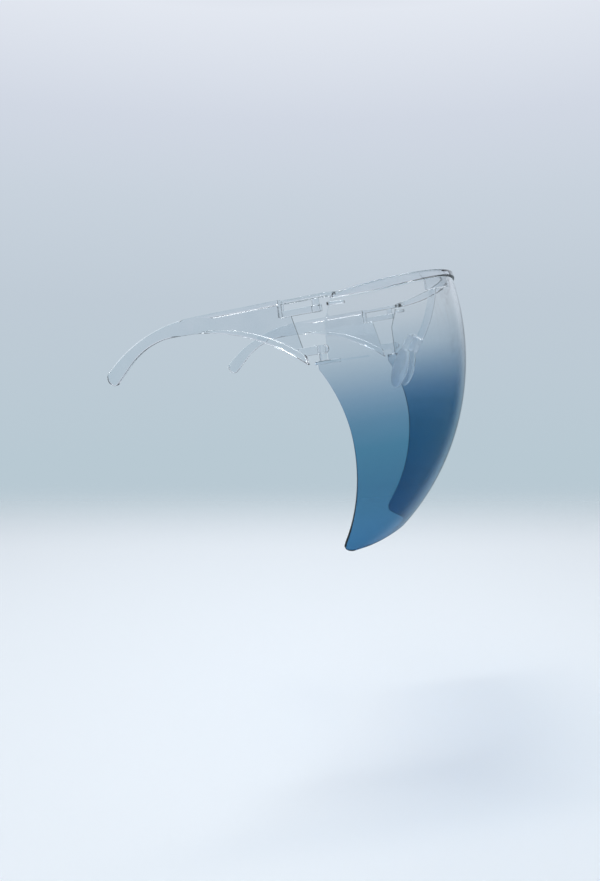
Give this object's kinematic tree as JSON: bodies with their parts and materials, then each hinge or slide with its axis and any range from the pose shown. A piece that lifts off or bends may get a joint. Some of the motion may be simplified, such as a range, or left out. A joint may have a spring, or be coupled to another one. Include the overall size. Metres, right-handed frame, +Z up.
{
  "type": "face shield",
  "caption": "Spectacle-frame face shield with a deep curved gradient-tinted visor, clear folding temples and a soft nose saddle.",
  "frame": {"origin": "middle of the saddle's inner face, where the shield sits on the bridge of the nose", "axes": "worn pose: +X to the wearer's left, +Y to the rear along the temples, +Z up; the visor faces -Y"},
  "size_m": [0.1594, 0.2049, 0.1666],
  "materials": {
    "tinted_visor": "polished clear sheet, blue tint that deepens towards the chin",
    "clear_frame": "polished clear moulding",
    "soft_nose_piece": "soft translucent satin"
  },
  "bodies": {
    "front": {"visor_lens": "tinted_visor", "brow_bar": "clear_frame", "lower_hinge_ear_right": "clear_frame", "lower_hinge_ear_left": "clear_frame", "nose_stem": "clear_frame", "nose_saddle": "soft_nose_piece", "nose_pad_right": "soft_nose_piece", "nose_pad_left": "soft_nose_piece"},
    "temple_right": {"temple_right": "clear_frame", "upper_hinge_peg_right": "clear_frame", "lower_hinge_peg_right": "clear_frame"},
    "temple_left": {"temple_left": "clear_frame", "upper_hinge_peg_left": "clear_frame", "lower_hinge_peg_left": "clear_frame"}
  },
  "joints": [
    {"name": "fold_right", "type": "hinge", "parent": "front", "child": "temple_right", "pos_m": [-0.07597, 0.03646, 0.02055], "axis": [0, -0.1564, -0.9877], "range_deg": [0, 86]},
    {"name": "fold_left", "type": "hinge", "parent": "front", "child": "temple_left", "pos_m": [0.07597, 0.03646, 0.02055], "axis": [0, 0.1564, 0.9877], "range_deg": [0, 96]}
  ]
}
